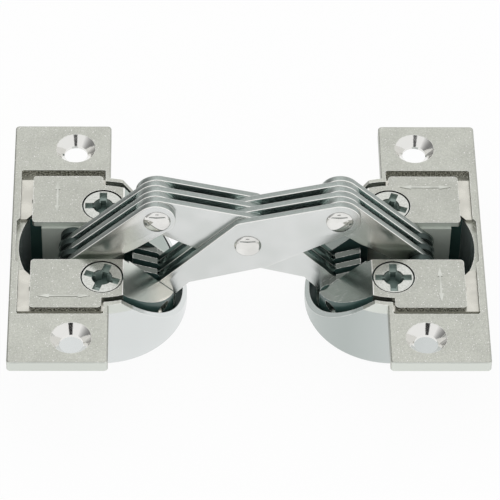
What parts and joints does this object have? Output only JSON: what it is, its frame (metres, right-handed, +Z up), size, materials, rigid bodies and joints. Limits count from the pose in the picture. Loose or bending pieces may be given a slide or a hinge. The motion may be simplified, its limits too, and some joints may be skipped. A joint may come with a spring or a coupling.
{
  "type": "concealed mitre hinge",
  "caption": "Concealed mitre hinge with two round cups, riveted cross links and adjustable carriers, shown open flat.",
  "frame": {"origin": "bottom centre of the open hinge, on the surface that it lies on, under the centre rivet", "axes": "+Z up; X runs across the joint from the left half to the right half; Y runs along the fold axis and the flanges"},
  "size_m": [0.0954, 0.065, 0.0328],
  "materials": {
    "cast_zinc": "nickel plated die casting, satin, with a fine cast grain",
    "carrier_zinc": "nickel plated die casting, satin tabs and a polished tongue",
    "link_steel": "nickel plated stamped steel, semi-bright faces",
    "rivet_steel": "polished nickel",
    "screw_steel": "nickel plated, bright, dark in the recess",
    "slide_steel": "nickel plated sheet steel, smooth",
    "pin_steel": "ground steel"
  },
  "bodies": {
    "left_base": {"left_housing": "cast_zinc"},
    "left_slides": {"left_slide_plate_rear": "slide_steel", "left_slide_plate_front": "slide_steel"},
    "left_inner_carrier": {"left_carrier": "carrier_zinc", "left_short_link_pin": "pin_steel", "left_cross_link_pin": "pin_steel", "left_spacer_rings": "pin_steel"},
    "left_side_adjuster": {"left_side_screw": "screw_steel"},
    "left_height_adjuster": {"left_height_screw": "screw_steel"},
    "left_short_links": {"left_short_link_rear": "link_steel", "left_short_link_middle": "link_steel", "left_short_link_front": "link_steel"},
    "right_base": {"right_housing": "cast_zinc"},
    "right_slides": {"right_slide_plate_rear": "slide_steel", "right_slide_plate_front": "slide_steel"},
    "right_inner_carrier": {"right_carrier": "carrier_zinc", "right_short_link_pin": "pin_steel", "right_cross_link_pin": "pin_steel", "right_spacer_rings": "pin_steel"},
    "right_side_adjuster": {"right_side_screw": "screw_steel"},
    "right_height_adjuster": {"right_height_screw": "screw_steel"},
    "right_short_links": {"right_short_link_rear": "link_steel", "right_short_link_middle": "link_steel", "right_short_link_front": "link_steel"},
    "left_cross_links": {"left_cross_link_rear": "link_steel", "left_cross_link_middle": "link_steel", "left_cross_link_front": "link_steel", "centre_rivet": "rivet_steel", "left_rivet": "rivet_steel"},
    "right_cross_links": {"right_cross_link_rear": "link_steel", "right_cross_link_middle": "link_steel", "right_cross_link_front": "link_steel", "right_rivet": "rivet_steel"}
  },
  "joints": [
    {"name": "left_height_slide", "type": "slide", "parent": "left_base", "child": "left_slides", "axis": [0, 1, 0], "range_m": [-0.001, 0.001]},
    {"name": "left_side_slide", "type": "slide", "parent": "left_slides", "child": "left_inner_carrier", "axis": [1, 0, 0], "range_m": [-0.001, 0.0004]},
    {"name": "left_height_screw_turn", "type": "hinge", "parent": "left_inner_carrier", "child": "left_height_adjuster", "pos_m": [-0.02924, 0.00981, 0.0182], "axis": [0, 0, 1], "range_deg": [-60, 60]},
    {"name": "left_side_screw_turn", "type": "hinge", "parent": "left_inner_carrier", "child": "left_side_adjuster", "pos_m": [-0.02924, -0.00981, 0.0182], "axis": [0, 0, 1], "range_deg": [-30, 60]},
    {"name": "fold", "type": "hinge", "parent": "left_inner_carrier", "child": "right_cross_links", "pos_m": [-0.017, 0, 0.0078], "axis": [0, -1, 0], "range_deg": [0, 90]},
    {"name": "left_cross_turn", "type": "hinge", "parent": "right_cross_links", "child": "left_cross_links", "pos_m": [0, 0, 0.0214], "axis": [0, -1, 0], "range_deg": [-90, 0]},
    {"name": "left_short_turn", "type": "hinge", "parent": "left_cross_links", "child": "left_short_links", "pos_m": [-0.0182, 0, 0.0285], "axis": [0, -1, 0], "range_deg": [0, 90]},
    {"name": "right_short_turn", "type": "hinge", "parent": "right_cross_links", "child": "right_short_links", "pos_m": [0.0182, 0, 0.0285], "axis": [0, -1, 0], "range_deg": [-90, 0]},
    {"name": "right_carrier_turn", "type": "hinge", "parent": "left_cross_links", "child": "right_inner_carrier", "pos_m": [0.017, 0, 0.0078], "axis": [0, -1, 0], "range_deg": [0, 90]},
    {"name": "right_side_slide", "type": "slide", "parent": "right_inner_carrier", "child": "right_slides", "axis": [1, 0, 0], "range_m": [-0.001, 0.0004]},
    {"name": "right_height_slide", "type": "slide", "parent": "right_slides", "child": "right_base", "axis": [0, 1, 0], "range_m": [-0.001, 0.001]},
    {"name": "right_height_screw_turn", "type": "hinge", "parent": "right_inner_carrier", "child": "right_height_adjuster", "pos_m": [0.02924, -0.00981, 0.0182], "axis": [0, 0, 1], "range_deg": [-60, 60]},
    {"name": "right_side_screw_turn", "type": "hinge", "parent": "right_inner_carrier", "child": "right_side_adjuster", "pos_m": [0.02924, 0.00981, 0.0182], "axis": [0, 0, 1], "range_deg": [-30, 60]}
  ],
  "couplings": [
    {"joint": "left_cross_turn", "follows": "fold", "ratio": -1},
    {"joint": "left_short_turn", "follows": "fold", "ratio": 1},
    {"joint": "right_short_turn", "follows": "fold", "ratio": -1},
    {"joint": "right_carrier_turn", "follows": "fold", "ratio": 1},
    {"joint": "left_height_screw_turn", "follows": "left_height_slide", "rad_per_m": 729.73},
    {"joint": "left_side_screw_turn", "follows": "left_side_slide", "rad_per_m": -693.6},
    {"joint": "right_height_screw_turn", "follows": "right_height_slide", "rad_per_m": 729.73},
    {"joint": "right_side_screw_turn", "follows": "right_side_slide", "rad_per_m": -693.6}
  ]
}
